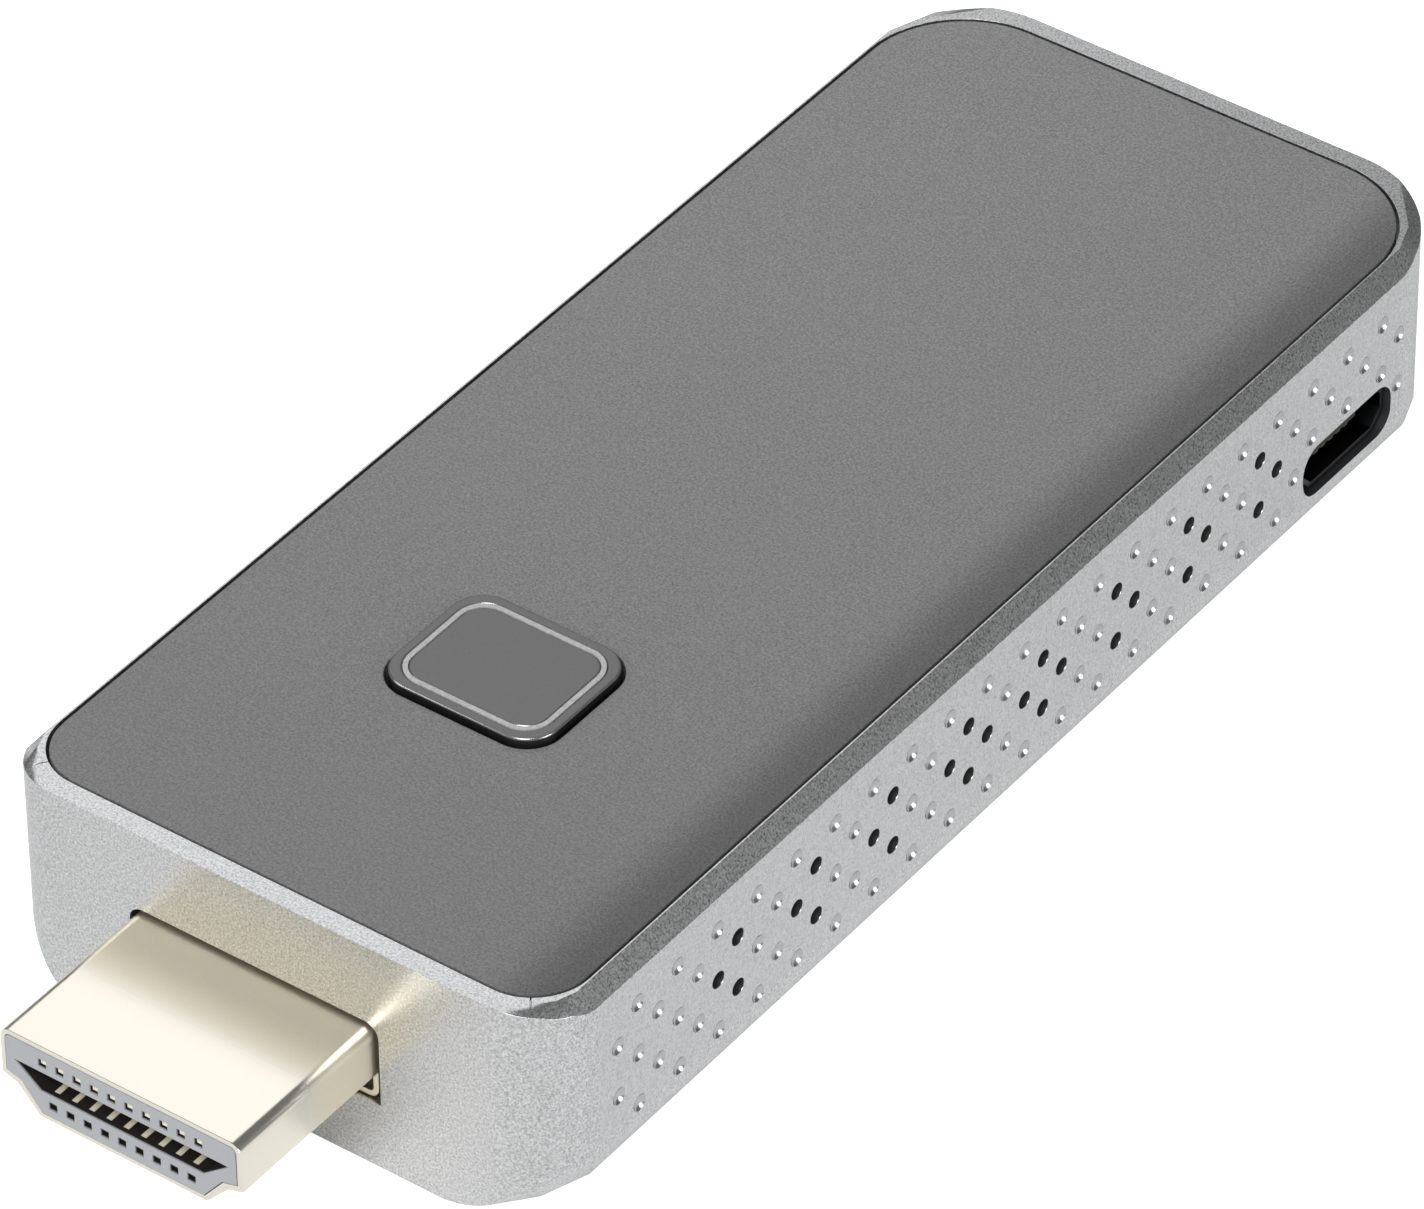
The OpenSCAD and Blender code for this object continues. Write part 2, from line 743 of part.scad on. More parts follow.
function upper_x(k) = plug_x + (k - (upper_count - 1) / 2) * contact_pitch;
function lower_x(k) = plug_x + (k - (lower_count - 1) / 2) * contact_pitch;

module contact_strip(out) {
    // Side view of one contact: a nose in the window, a strip along the slot with a springy bump,
    // a joggle to the board's face behind the slot, and a tail. out is 1 above the slot, -1 below it
    nose_y = plug_tip_y + nose_in;
    tip_y = plug_tip_y + tip_in;
    joggle_y = plug_tip_y + slot_l + joggle_l / 2;
    face = out > 0 ? slot_top : slot_foot;
    rest = out > 0 ? board_top : board_z;
    nose_z = out > 0 ? upper_window_z : lower_window_z + (window - contact_t) / 2 - seat_gap;
    bump_y = tip_y + contact_t + (out > 0 ? upper_bump_from : lower_bump_from);
    bump_drop = out > 0 ? upper_bump_drop : lower_bump_drop;
    polygon([
        [tip_y, face],
        [tip_y, nose_z - out * contact_t / 2],
        [nose_y, nose_z - out * contact_t / 2],
        [nose_y, nose_z + out * contact_t / 2],
        [tip_y + contact_t, nose_z + out * contact_t / 2],
        [tip_y + contact_t, face + out * contact_t],
        [joggle_y, face + out * contact_t],
        [joggle_y + joggle_l, rest + out * contact_t],
        [plug_back_y + tail_l, rest + out * contact_t],
        [plug_back_y + tail_l, rest],
        [joggle_y + joggle_l, rest],
        [joggle_y, face],
        [bump_y + bump_l, face],
        [bump_y + bump_l / 2, face - out * bump_drop],
        [bump_y, face]
    ]);
}

module contact_row(count, out) {
    for (k = [0 : count - 1]) {
        x = out > 0 ? upper_x(k) : lower_x(k);
        along_x(x - contact_w / 2, x + contact_w / 2) contact_strip(out);
    }
}

module upper_contacts() {
    color("#d9b45a") contact_row(upper_count, 1);
}

module lower_contacts() {
    color("#d9b45a") contact_row(lower_count, -1);
}

module contact_channels(count, out) {
    w = contact_w + 2 * seat_gap;
    face = out > 0 ? slot_top : slot_foot;
    rest = out > 0 ? board_top : board_z;
    window_z = out > 0 ? upper_window_z : lower_window_z;
    low = min(face, rest, face + out * contact_t, rest + out * contact_t) - seat_gap;
    high = max(face, rest, face + out * contact_t, rest + out * contact_t) + seat_gap;
    slit_low = min(low, window_z - window / 2);
    slit_high = max(high, window_z + window / 2);
    for (k = [0 : count - 1]) {
        x = out > 0 ? upper_x(k) : lower_x(k);
        // The strip's channel, open to the slot and to the back
        translate([x - w / 2, plug_tip_y + tip_in - seat_gap, low])
            cube([w, plug_back_y - plug_tip_y + over, high - low]);
        // The slit for the turned-out tip
        translate([x - w / 2, plug_tip_y + tip_in - seat_gap, slit_low])
            cube([w, contact_t + 2 * seat_gap, slit_high - slit_low]);
        // The square window in the face
        translate([x - window / 2, plug_tip_y - over, window_z - window / 2])
            cube([window, window_deep + over, window]);
    }
}

module plug_insulator() {
    color("#8f9399") difference() {
        translate([plug_x, 0, plug_z]) union() {
            along_y(plug_tip_y, plug_rear_y + shell_t) shell_outline(shell_t + seat_gap);
            along_y(plug_rear_y + shell_t / 2, plug_back_y) rear_outline(shell_t + seat_gap);
        }
        along_y(plug_tip_y - over, plug_tip_y + slot_l) polygon([
            [plug_x - slot_foot_w / 2, slot_foot], [plug_x + slot_foot_w / 2, slot_foot],
            [plug_x + slot_top_w / 2, slot_top], [plug_x - slot_top_w / 2, slot_top]]);
        contact_channels(upper_count, 1);
        contact_channels(lower_count, -1);
    }
}

module main_board() {
    color("#1d5c3a") difference() {
        translate([0, board_y, board_z]) linear_extrude(board_t)
            rounded_plan(board_w, board_l, board_gap, board_rear_r);
        for (p = post_places) translate([post_at(p)[0], post_at(p)[1], board_z - over])
            cylinder(h = board_t + 2 * over, d = screw_hole_d);
    }
}

module on_board(size, at) {
    block(size, [at[0], board_y + at[1], board_top + seat_gap]);
}

module video_chip() {
    color("#26282b") on_board(video_size, video_at);
}

module thermal_pad() {
    color("#8fa6c4") block([video_size[0] - 2 * pad_margin, video_size[1] - 2 * pad_margin, pad_t],
        [video_at[0], board_y + video_at[1], board_top + 2 * seat_gap + video_size[2]]);
}

module heatsink() {
    base_z = board_top + 3 * seat_gap + video_size[2] + pad_t;
    top = recess_z - heatsink_room;
    pitch = (heatsink_w - fin_t) / (fin_count - 1);
    color("#a9adb3") {
        block([heatsink_w, heatsink_l, heatsink_base_h],
            [video_at[0], board_y + video_at[1], base_z]);
        for (k = [0 : fin_count - 1]) block([fin_t, heatsink_l, top - base_z],
            [video_at[0] - heatsink_w / 2 + fin_t / 2 + k * pitch, board_y + video_at[1], base_z]);
    }
}

module memory_chip(k) {
    color("#2a2c30") on_board(memory_size, [memory_x, memory_from + k * memory_step]);
}

module flash_chip() {
    color("#232528") on_board(flash_size, flash_at);
}

module radio_board() {
    color("#184c6b") on_board(radio_size, radio_at);
}

module radio_shield() {
    size = [radio_size[0] - 2 * shield_margin, radio_size[1] - 2 * shield_margin, shield_h];
    z = board_top + 2 * seat_gap + radio_size[2];
    color("#c4c6c8") difference() {
        block(size, [radio_at[0], board_y + radio_at[1], z]);
        block([size[0] - 2 * shield_t, size[1] - 2 * shield_t, shield_h - shield_t + over],
            [radio_at[0], board_y + radio_at[1], z - over]);
    }
}

module crystal() {
    color("#cfcfcf") on_board(crystal_size, crystal_at);
}

module coil(k) {
    color("#3d3f42") on_board(coil_size, [coil_x, coil_from + k * coil_step]);
}

module power_chip() {
    color("#202225") on_board(power_size, power_at);
}

module tank_capacitor(k) {
    at = [tank_x, tank_from + k * tank_step];
    color("#b9bcc0") {
        on_board([tank_base_w, tank_base_w, tank_base_h], at);
        translate([at[0], board_y + at[1], board_top + seat_gap + tank_base_h / 2])
            cylinder(h = tank_h - tank_base_h / 2, d = tank_d);
    }
}

module small_capacitors() {
    color("#b98d5c") for (c = [0 : small_columns - 1], r = [0 : small_rows - 1])
        on_board(small_size, [small_first[0] + c * small_step, small_first[1] + r * small_step]);
}

module status_led() {
    color("#f2f2e6") on_board(led_size,
        [button_x + led_from_button, button_y - board_front]);
}

module antenna(k) {
    side = k == 0 ? -1 : 1;
    x = side * antenna_x;
    y = rear_y - wall - board_gap - antenna_from_end - antenna_l / 2;
    color("#d8b869") difference() {
        union() {
            block([antenna_w, antenna_l, antenna_t],
                [x, y, board_top + seat_gap + antenna_h - antenna_t]);
            block([antenna_foot, antenna_t, antenna_h],
                [x - antenna_w / 2 + antenna_foot / 2, y - antenna_l / 2 + antenna_t / 2,
                    board_top + seat_gap]);
            block([antenna_foot, antenna_t, antenna_h],
                [x + antenna_w / 2 - antenna_foot / 2, y - antenna_l / 2 + antenna_t / 2,
                    board_top + seat_gap]);
        }
        block([antenna_w / 2, antenna_slit, antenna_h + over],
            [x, y + antenna_t, board_top + antenna_h / 2]);
    }
}

module socket_outline(inset) {
    // Wide side up, with round upper corners and slanted lower corners
    w = socket_l / 2 - inset;
    top = socket_h / 2 - inset;
    slant = socket_slant - inset / 2;
    r = max(socket_r - inset, seat_gap);
    translate([-w + r, top - 2 * r]) square([2 * (w - r), 2 * r]);
    for (s = side_signs) translate([s * (w - r), top - r]) circle(r);
    polygon([[-w, top - r], [-w, -top + slant], [-w + slant, -top], [w - slant, -top],
        [w, -top + slant], [w, top - r]]);
}

module port_shell() {
    color("#c6c8ca") difference() {
        along_x(socket_back_x, socket_x) translate([port_y, port_z]) socket_outline(0);
        along_x(socket_back_x + socket_t, socket_x + over)
            translate([port_y, port_z]) socket_outline(socket_t);
    }
}

module port_tongue() {
    top = port_z + tongue_drop;
    color("#1f1f1f") {
        translate([socket_back_x + socket_t + seat_gap, port_y - tongue_l / 2, top - tongue_h])
            cube([socket_deep - socket_t - tongue_in, tongue_l, tongue_h]);
        along_x(socket_back_x + socket_t + seat_gap, socket_back_x + socket_t + tongue_in)
            translate([port_y, port_z]) socket_outline(socket_t + seat_gap);
    }
}

module port_contacts() {
    top = port_z + tongue_drop - tongue_h - seat_gap;
    color("#d9b45a") for (k = [0 : port_contact_count - 1])
        translate([socket_back_x + socket_t + tongue_in + seat_gap,
            port_y + (k - (port_contact_count - 1) / 2) * port_contact_pitch - port_contact_w / 2,
            top - port_contact_t])
            cube([socket_deep - socket_t - 2 * tongue_in - 2 * seat_gap, port_contact_w,
                port_contact_t]);
}

module board_screws() {
    color("#b7b9bb") for (p = post_places) translate([post_at(p)[0], post_at(p)[1], 0]) {
        translate([0, 0, board_top + seat_gap]) difference() {
            cylinder(h = screw_head_h, d = screw_head_d);
            translate([0, 0, screw_head_h / 2]) for (a = [0, 90]) rotate([0, 0, a])
                translate([-screw_cross_l / 2, -screw_cross_w / 2, 0])
                    cube([screw_cross_l, screw_cross_w, screw_head_h]);
        }
        translate([0, 0, board_z - screw_l + seat_gap])
            cylinder(h = screw_l + board_t + screw_head_h / 4, d = screw_d);
    }
}

module insulating_sheet() {
    color("#d6b24c") block([sheet_w, sheet_l, sheet_t],
        [0, board_y + sheet_from + sheet_l / 2 - board_gap, floor_t + seat_gap]);
}

tray();
top_cover();
button_cap();
button_ring();
switch_base();
switch_frame();
switch_plunger();
switch_dome();
plug_shell();
plug_insulator();
upper_contacts();
lower_contacts();
main_board();
video_chip();
thermal_pad();
heatsink();
memory_chip(0);  // memory_chip_1
memory_chip(1);  // memory_chip_2
flash_chip();
radio_board();
radio_shield();
crystal();
coil(0);  // coil_1
coil(1);  // coil_2
power_chip();
tank_capacitor(0);  // tank_capacitor_1
tank_capacitor(1);  // tank_capacitor_2
small_capacitors();
status_led();
antenna(0);  // antenna_1
antenna(1);  // antenna_2
port_shell();
port_tongue();
port_contacts();
board_screws();
insulating_sheet();
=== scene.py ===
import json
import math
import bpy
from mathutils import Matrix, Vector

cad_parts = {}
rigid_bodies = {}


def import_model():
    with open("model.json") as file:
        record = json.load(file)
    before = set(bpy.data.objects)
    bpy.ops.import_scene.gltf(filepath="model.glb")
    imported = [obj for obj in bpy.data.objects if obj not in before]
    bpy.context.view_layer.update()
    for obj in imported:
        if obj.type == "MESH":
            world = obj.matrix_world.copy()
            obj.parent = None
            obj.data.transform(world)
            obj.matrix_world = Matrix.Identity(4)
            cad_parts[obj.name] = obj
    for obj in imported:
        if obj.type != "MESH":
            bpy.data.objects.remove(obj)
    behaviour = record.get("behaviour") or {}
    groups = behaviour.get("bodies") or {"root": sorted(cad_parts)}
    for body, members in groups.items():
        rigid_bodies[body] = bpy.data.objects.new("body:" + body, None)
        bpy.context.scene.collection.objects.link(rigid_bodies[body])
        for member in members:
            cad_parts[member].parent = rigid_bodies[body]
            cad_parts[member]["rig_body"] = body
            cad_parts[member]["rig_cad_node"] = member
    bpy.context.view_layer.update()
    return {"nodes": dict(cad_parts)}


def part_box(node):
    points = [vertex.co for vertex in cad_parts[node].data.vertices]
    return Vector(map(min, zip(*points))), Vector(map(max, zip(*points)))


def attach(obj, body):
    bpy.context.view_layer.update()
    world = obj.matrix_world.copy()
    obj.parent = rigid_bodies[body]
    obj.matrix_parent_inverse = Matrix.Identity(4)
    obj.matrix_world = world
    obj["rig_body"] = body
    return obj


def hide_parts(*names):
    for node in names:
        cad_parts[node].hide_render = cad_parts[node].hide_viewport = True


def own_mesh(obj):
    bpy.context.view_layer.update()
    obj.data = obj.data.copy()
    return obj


bl_info = {
    "name": "Wireless Presentation Dongle",
    "version": (1, 0, 0),
    "blender": (4, 5, 0),
    "location": "View3D > Sidebar > Dongle",
    "description": "Gives the frame of a wireless presentation dongle its finishes and rounded edges",
    "category": "Object",
}

import bmesh
import bpy
from mathutils import Matrix, Vector

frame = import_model()
MM = 0.001
MM2 = MM * MM
BODY_LOW, BODY_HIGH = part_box("tray")
COVER_LOW, COVER_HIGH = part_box("top_cover")
CAP_LOW, CAP_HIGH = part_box("button_cap")
PLUG_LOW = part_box("plug_shell")[0]
INLET_LOW, INLET_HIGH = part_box("port_shell")

# How every copied piece is cleaned, rounded and shaded
MERGE_GAP = 0.0005 * MM
FLAT_DEG = 0.3
SHARP_DEG = 28
SMOOTH_DEG = 32
LARGE_FACE_WEIGHT = 100

# An edge this near the height or the front of a face lies on that face
ON_FACE = 0.01 * MM

# The rounding where a vent's bore meets the side
VENT_ROUND = 0.05 * MM

# What the casing's rim and vents are picked by. Depths go in from the flat of a long side
RIM_BAND = 1.2 * MM
VENT_EDGE_DEPTH = 0.003 * MM
VENT_EDGE_BELOW_TOP = 2 * MM
VENT_LIP = 0.08 * MM
SIDE_WALL = 2 * MM
VENTS_LOW = 4.5 * MM
VENTS_BELOW_TOP = 2.2 * MM
VENT_FACE = 0.5 * MM2

# What its flat sides, dimples and inlet recess are picked by
FLUSH = 0.002 * MM
DIMPLE_DEPTH = 0.26 * MM
DIMPLES_LOW = 3.7 * MM
DIMPLES_BELOW_TOP = 2 * MM
DIMPLES_FROM_FRONT = 4.5 * MM
DIMPLES_FROM_REAR = 5 * MM
DIMPLE_FACE = 0.04 * MM2
RECESS_LIP = 0.02 * MM
RECESS_DEPTH = 1.7 * MM
RECESS_MARGIN = 0.5 * MM

# How squarely a face points outwards, as the sideways share of its normal
SQUARE_ON = 0.9995
STEEP = 0.3
EDGE_ON = 0.05

# The casing's material slots after the first
RECESS, DIMPLES, VENTS, SIDES = 1, 2, 3, 4

# The button's material slots after the first
CAP_SIDE, CAP_EDGE = 1, 2

# The button's ring lies inside these half widths and this margin
RING_HALF_X = 3.6 * MM
RING_HALF_Y = 2.8 * MM
RING_MARGIN = 0.55 * MM

# The button's upright sides have faces at least this large, and this upright
CAP_SIDE_FACE = 0.05 * MM2
CAP_UPRIGHT = 0.1

# The upward share of a normal up to which a face is the button's side, and then its rounded edge
CAP_SIDE_TILT = 0.25
CAP_EDGE_TILT = 0.92

# The photograph's camera, as fitted to the plug's contacts, the side's dots and the outline
CAMERA_SPOT = (220.1 * MM, -293.95 * MM, 312.9 * MM)
CAMERA_LENS_MM = 254.46
CAMERA_SENSOR_MM = 36
CAMERA_CLIP = (0.01, 20)
CAMERA_RIGHT = Vector((0.806, 0.592, -0.008))
CAMERA_DOWN = Vector((0.373, -0.518, -0.770))
CAMERA_AHEAD = Vector((-0.460, 0.617, -0.638))

# The floor's width in metres, and how far under the part it lies
FLOOR_SIZE = 3
FLOOR_DROP = 0.01 * MM

# Each square lamp's name, place and side in metres, and power in watts; all of them face the origin.
# The near card ends over the middle of the body, so the front rim and the plug shine brighter.
# The low card on the right glints in the pressed dimples
LAMPS = [
    ("high_lamp", (0.18, -0.5, 0.6), 0.4, 4.4),
    ("front_lamp", (-0.53, -0.525, 0.27), 0.38, 1.35),
    ("near_card", (-0.161, 0.12, 0.23), 0.2, 0.125),
    ("rear_card", (-0.2, 0.31, 0.26), 0.16, 0.02),
    ("low_card", (0.78, 0.0, 0.22), 0.34, 2.2),
]


class DongleSizes(bpy.types.PropertyGroup):
    """Small edge sizes that the eye reads on the real piece"""

    casing_edge: bpy.props.FloatProperty(
        name="Casing edge", description="Rounding of the casing's rim", default=0.16 * MM,
        min=0.05 * MM, max=0.4 * MM, precision=6, unit="LENGTH")
    cover_edge: bpy.props.FloatProperty(
        name="Cover edge", description="Rounding round the cover and its button hole", default=0.09 * MM,
        min=0.03 * MM, max=0.2 * MM, precision=6, unit="LENGTH")
    cap_edge: bpy.props.FloatProperty(
        name="Cap edge", description="Rounding round the button's face", default=0.12 * MM,
        min=0.05 * MM, max=0.35 * MM, precision=6, unit="LENGTH")
    plug_edge: bpy.props.FloatProperty(
        name="Plug edge", description="Rounding of the plug shell's front rims", default=0.08 * MM,
        min=0.03 * MM, max=0.12 * MM, precision=6, unit="LENGTH")
    grain: bpy.props.FloatProperty(
        name="Grain", description="Size of the blasted grain on the metal", default=0.12 * MM,
        min=0.05 * MM, max=0.5 * MM, precision=6, unit="LENGTH")


class DongleColours(bpy.types.PropertyGroup):
    """Colours of the outer pieces, as sRGB hex values"""

    casing: bpy.props.StringProperty(name="Casing", description="Silver of the casing", default="#D0D1D2")
    cover: bpy.props.StringProperty(name="Cover", description="Grey of the cover", default="#848484")
    button: bpy.props.StringProperty(name="Button", description="Grey of the button", default="#717171")
    ring: bpy.props.StringProperty(name="Ring", description="Pale ring on the button", default="#BDBDBD")
    gold: bpy.props.StringProperty(name="Plug", description="Pale gold of the plug", default="#F2EDE1")
    insulator: bpy.props.StringProperty(name="Insulator", description="Grey in the plug", default="#AEB0B4")


def linear(code):
    """An sRGB hex value as linear RGBA"""
    parts = [int(code[i:i + 2], 16) / 255 for i in (1, 3, 5)]
    return [c / 12.92 if c <= 0.04045 else ((c + 0.055) / 1.055) ** 2.4 for c in parts] + [1.0]


def tone(code, share):
    """The linear colour of a hex value, made lighter or darker by a share"""
    return [min(1.0, c * share) for c in linear(code)[:3]] + [1.0]


def add_node(tree, kind, inputs=None, **settings):
    """Adds one node: a socket given as an input is linked, any other value is written on it"""
    node = tree.nodes.new(kind)
    for name, value in settings.items():
        setattr(node, name, value)
    for name, value in (inputs or {}).items():
        if isinstance(value, bpy.types.NodeSocket):
            tree.links.new(value, node.inputs[name])
        else:
            node.inputs[name].default_value = value
    return node


def start_material(name):
    """An empty node material, its tree and the object's own coordinates"""
    material = bpy.data.materials.new(name)
    material.use_nodes = True
    tree = material.node_tree
    tree.nodes.clear()
    place = add_node(tree, "ShaderNodeTexCoord").outputs["Object"]
    return material, tree, place


def end_material(tree, shader):
    """Links the last shader to the material's output"""
    add_node(tree, "ShaderNodeOutputMaterial", {"Surface": shader.outputs[0]})


def grained_metal(name, code, grain, spread, metallic, rough, bump, painted_light=False):
    """A blasted metal face: two tones of one colour in grains, with a slow cloud under them. The real
    grains are too fine to show at this distance, so they are drawn coarser"""
    cloud_size = 11 * MM
    dent_depth = 0.012 * MM
    edge_shade = 4.5 * MM
    material, tree, place = start_material(name)
    fine = add_node(tree, "ShaderNodeTexNoise", {
        "Vector": place, "Scale": 1 / grain, "Detail": 3.0, "Roughness": 0.75})
    cloud = add_node(tree, "ShaderNodeTexNoise", {"Vector": place, "Scale": 1 / cloud_size, "Detail": 3.0})
    speck = add_node(tree, "ShaderNodeMapRange", {
        "Value": fine.outputs["Fac"], "From Min": 0.36, "From Max": 0.64})
    slow = add_node(tree, "ShaderNodeMapRange", {
        "Value": cloud.outputs["Fac"], "From Min": 0.35, "From Max": 0.65, "To Min": 0.0, "To Max": 0.08})
    grains = add_node(tree, "ShaderNodeMix", {
        0: speck.outputs[0], 6: tone(code, 1 - spread), 7: tone(code, 1 + spread)}, data_type="RGBA")
    colour = add_node(tree, "ShaderNodeMix", {
        0: slow.outputs[0], 6: grains.outputs[2], 7: tone(code, 1.25)}, data_type="RGBA").outputs[2]
    if painted_light:
        # Painted light on the cover: a painted sheen makes it lighter towards the far end, and painted
        # shade makes it darker beside its right edge
        spot = add_node(tree, "ShaderNodeSeparateXYZ", {0: place})
        along = add_node(tree, "ShaderNodeMapRange", {
            "Value": spot.outputs["Y"], "From Min": COVER_LOW.y, "From Max": COVER_HIGH.y,
            "To Min": 0.96, "To Max": 1.3})
        beside = add_node(tree, "ShaderNodeMapRange", {
            "Value": spot.outputs["X"], "From Min": COVER_HIGH.x - edge_shade, "From Max": COVER_HIGH.x,
            "To Min": 1.0, "To Max": 0.55}, interpolation_type="SMOOTHERSTEP")
        shade = add_node(tree, "ShaderNodeMath", {
            0: along.outputs[0], 1: beside.outputs[0]}, operation="MULTIPLY")
        colour = add_node(tree, "ShaderNodeVectorMath", {
            0: colour, "Scale": shade.outputs[0]}, operation="SCALE").outputs[0]
    shine = add_node(tree, "ShaderNodeMapRange", {
        "Value": fine.outputs["Fac"], "From Min": 0.3, "From Max": 0.7,
        "To Min": rough - 0.05, "To Max": rough + 0.07})
    dents = add_node(tree, "ShaderNodeBump", {
        "Strength": bump, "Distance": dent_depth, "Height": fine.outputs["Fac"]})
    shader = add_node(tree, "ShaderNodeBsdfPrincipled", {
        "Base Color": colour, "Metallic": metallic, "Roughness": shine.outputs[0],
        "Normal": dents.outputs[0]})
    end_material(tree, shader)
    return material


def moulded(name, code, rough, grain, spread=0.05, bump=0.15, metallic=0.0):
    """A moulded, pressed or stamped surface: faint mottling and a texture of a real size"""
    mottle_size = 9 * grain
    dent_depth = 0.01 * MM
    material, tree, place = start_material(name)
    fine = add_node(tree, "ShaderNodeTexNoise", {"Vector": place, "Scale": 1 / grain, "Detail": 3.0})
    mottle = add_node(tree, "ShaderNodeTexNoise", {
        "Vector": place, "Scale": 1 / mottle_size, "Detail": 2.0})
    colour = add_node(tree, "ShaderNodeMix", {
        0: mottle.outputs["Fac"], 6: tone(code, 1 - spread), 7: tone(code, 1 + spread)}, data_type="RGBA")
    shine = add_node(tree, "ShaderNodeMapRange", {
        "Value": mottle.outputs["Fac"], "To Min": rough - 0.06, "To Max": rough + 0.08})
    dents = add_node(tree, "ShaderNodeBump", {
        "Strength": bump, "Distance": dent_depth, "Height": fine.outputs["Fac"]})
    shader = add_node(tree, "ShaderNodeBsdfPrincipled", {
        "Base Color": colour.outputs[2], "Metallic": metallic, "Roughness": shine.outputs[0],
        "Normal": dents.outputs[0]})
    end_material(tree, shader)
    return material


def gold_plate(name, code):
    """Thin pale gold over nickel, drawn from sheet. The front of the plug is whitish, and the part near the
    body is duller and finely grained. It is also yellower there: a painted reflection, where the plug
    mirrors the casing's front wall"""
    # Over this span the plug turns duller, and the painted reflection of the casing's front wall fades in
    dull_and_reflection_start = PLUG_LOW.y + 4.4 * MM
    dull_and_reflection_end = PLUG_LOW.y + 6.8 * MM
    reflection_tint_code = "#FAF0D8"
    grain = 0.1 * MM
    rolled_size = 0.5 * MM
    dent_depth = 0.01 * MM
    material, tree, place = start_material(name)
    along = add_node(tree, "ShaderNodeSeparateXYZ", {0: place})
    back = add_node(tree, "ShaderNodeMapRange", {
        "Value": along.outputs["Y"], "From Min": dull_and_reflection_start, "From Max": dull_and_reflection_end},
        interpolation_type="SMOOTHSTEP")
    fine = add_node(tree, "ShaderNodeTexNoise", {
        "Vector": place, "Scale": 1 / grain, "Detail": 3.0, "Roughness": 0.7})
    rear = add_node(tree, "ShaderNodeMix", {
        0: fine.outputs["Fac"], 6: tone(reflection_tint_code, 0.94), 7: tone(reflection_tint_code, 1.06)}, data_type="RGBA")
    colour = add_node(tree, "ShaderNodeMix", {
        0: back.outputs[0], 6: linear(code), 7: rear.outputs[2]}, data_type="RGBA")
    shine = add_node(tree, "ShaderNodeMapRange", {
        "Value": back.outputs[0], "To Min": 0.24, "To Max": 0.4})
    rolled = add_node(tree, "ShaderNodeTexNoise", {
        "Vector": place, "Scale": 1 / rolled_size, "Detail": 2.0})
    dents = add_node(tree, "ShaderNodeBump", {
        "Strength": 0.08, "Distance": dent_depth, "Height": rolled.outputs["Fac"]})
    shader = add_node(tree, "ShaderNodeBsdfPrincipled", {
        "Base Color": colour.outputs[2], "Metallic": 1.0, "Roughness": shine.outputs[0],
        "Normal": dents.outputs[0]})
    end_material(tree, shader)
    return material


def insulator_moulding(name, code):
    """Filled moulded plastic: grey on its face, and drawn close to black a little way into slot and
    windows, as painted shade
    """
    face_to = PLUG_LOW.y + 0.05 * MM
    dark_from = PLUG_LOW.y + 0.12 * MM
    grain = 0.12 * MM
    dent_depth = 0.01 * MM
    material, tree, place = start_material(name)
    along = add_node(tree, "ShaderNodeSeparateXYZ", {0: place})
    depth = add_node(tree, "ShaderNodeMapRange", {
        "Value": along.outputs["Y"], "From Min": face_to, "From Max": dark_from})
    fine = add_node(tree, "ShaderNodeTexNoise", {"Vector": place, "Scale": 1 / grain, "Detail": 3.0})
    face = add_node(tree, "ShaderNodeMix", {
        0: fine.outputs["Fac"], 6: tone(code, 0.92), 7: tone(code, 1.06)}, data_type="RGBA")
    colour = add_node(tree, "ShaderNodeMix", {
        0: depth.outputs[0], 6: face.outputs[2], 7: linear("#1C1917")}, data_type="RGBA")
    dents = add_node(tree, "ShaderNodeBump", {
        "Strength": 0.15, "Distance": dent_depth, "Height": fine.outputs["Fac"]})
    shader = add_node(tree, "ShaderNodeBsdfPrincipled", {
        "Base Color": colour.outputs[2], "Roughness": 0.55, "Normal": dents.outputs[0]})
    end_material(tree, shader)
    return material


def contact_gold(name, code, dark_z):
    """Hard gold over stamped bronze. Below dark_z it is drawn dark: that part sits deep in the small
    windows, where no light falls"""
    fade = 0.1 * MM
    worn_size = 0.2 * MM
    material, tree, place = start_material(name)
    height = add_node(tree, "ShaderNodeSeparateXYZ", {0: place})
    lit = add_node(tree, "ShaderNodeMapRange", {
        "Value": height.outputs["Z"], "From Min": dark_z, "From Max": dark_z + fade})
    worn = add_node(tree, "ShaderNodeTexNoise", {"Vector": place, "Scale": 1 / worn_size, "Detail": 2.0})
    bright = add_node(tree, "ShaderNodeMix", {
        0: worn.outputs["Fac"], 6: tone(code, 0.9), 7: tone(code, 1.1)}, data_type="RGBA")
    colour = add_node(tree, "ShaderNodeMix", {
        0: lit.outputs[0], 6: linear("#15130F"), 7: bright.outputs[2]}, data_type="RGBA")
    shader = add_node(tree, "ShaderNodeBsdfPrincipled", {
        "Base Color": colour.outputs[2], "Metallic": 0.2, "Roughness": 0.34})
    end_material(tree, shader)
    return material


def pale_floor():
    """A matte floor that the camera sees as white, with the object's shadow on it. Its glow is left out
    of the light on the object, apart from a small share in what the metal mirrors"""
    mirrored_share = 0.08
    material, tree, place = start_material("pale_floor")
    path = add_node(tree, "ShaderNodeLightPath")
    mirrored = add_node(tree, "ShaderNodeMath", {
        0: path.outputs["Is Glossy Ray"], 1: mirrored_share}, operation="MULTIPLY")
    seen = add_node(tree, "ShaderNodeMath", {
        0: path.outputs["Is Camera Ray"], 1: mirrored.outputs[0]}, operation="MAXIMUM")
    matte = add_node(tree, "ShaderNodeBsdfPrincipled", {
        "Base Color": linear("#EDEDED"), "Roughness": 0.9})
    glow = add_node(tree, "ShaderNodeEmission", {"Color": linear("#FFFFFF"), "Strength": 0.85})
    both = add_node(tree, "ShaderNodeAddShader", {0: matte.outputs[0], 1: glow.outputs[0]})
    mixed = add_node(tree, "ShaderNodeMixShader", {
        0: seen.outputs[0], 1: matte.outputs[0], 2: both.outputs[0]})
    end_material(tree, mixed)
    return material


